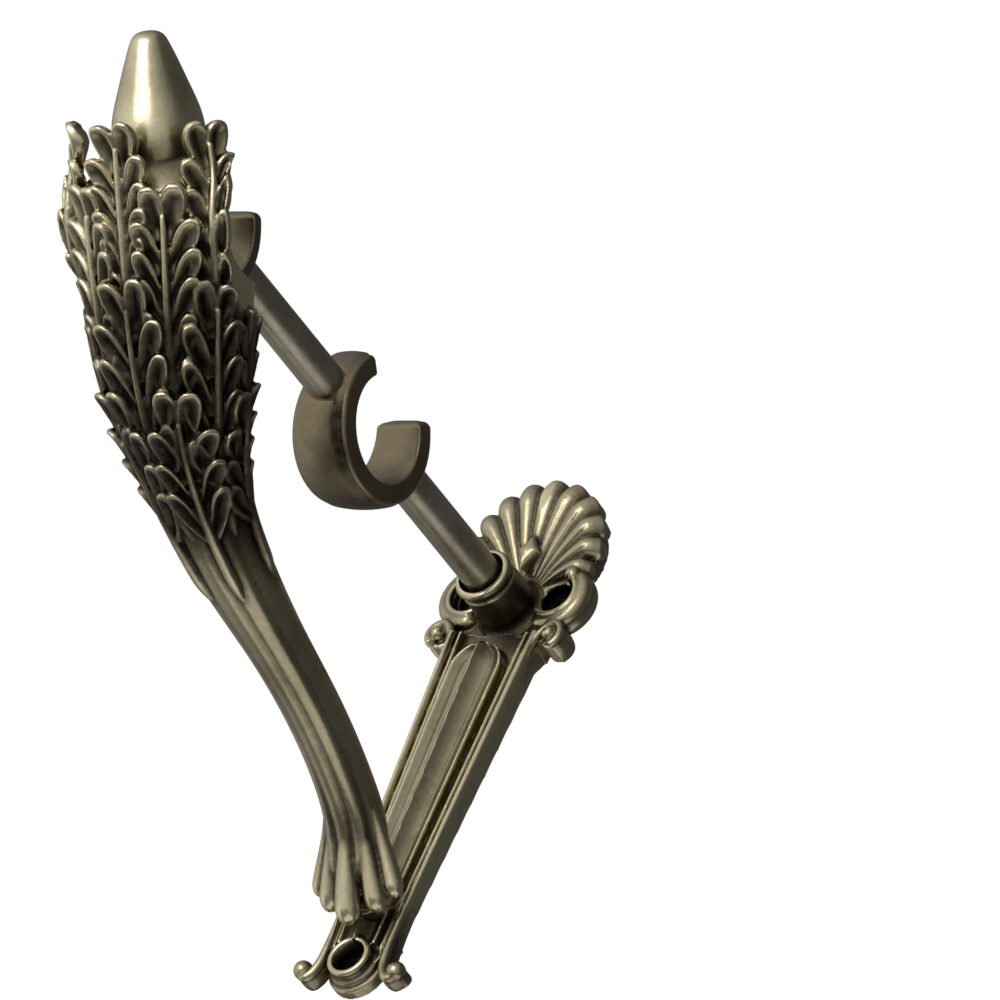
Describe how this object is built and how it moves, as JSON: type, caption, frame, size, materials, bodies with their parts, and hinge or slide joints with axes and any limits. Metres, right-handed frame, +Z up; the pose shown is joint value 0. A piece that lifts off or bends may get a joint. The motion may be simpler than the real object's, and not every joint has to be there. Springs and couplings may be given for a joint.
{
  "type": "curtain pole bracket",
  "caption": "Ornate cast double curtain pole bracket: shell-topped wall plate, round arm with an open ring cup, and a leaf-covered brace that holds the front pole behind its torch-like head.",
  "frame": {"origin": "on the wall, at the back face of the plate, on the axis of the arm", "axes": "+Z up the wall, -Y out into the room along the arm, +X to the right along the poles as seen from the room"},
  "size_m": [0.052, 0.1943, 0.1444],
  "materials": {
    "cast_bronze": "antique patina, dark in the hollows and rubbed bright on the edges",
    "cup_bronze": "smooth antique bronze, semi-gloss",
    "rod_bronze": "smooth dark bronze, semi-gloss",
    "screw_steel": "plain zinc-plated steel"
  },
  "bodies": {
    "root": {"wall_plate": "cast_bronze", "leaf_brace": "cast_bronze", "rear_cup": "cup_bronze", "front_cup": "cup_bronze", "rear_rod": "rod_bronze", "front_rod": "rod_bronze", "cup_screw": "screw_steel", "foot_screw": "screw_steel", "socket_grub_screw": "screw_steel"}
  },
  "joints": []
}
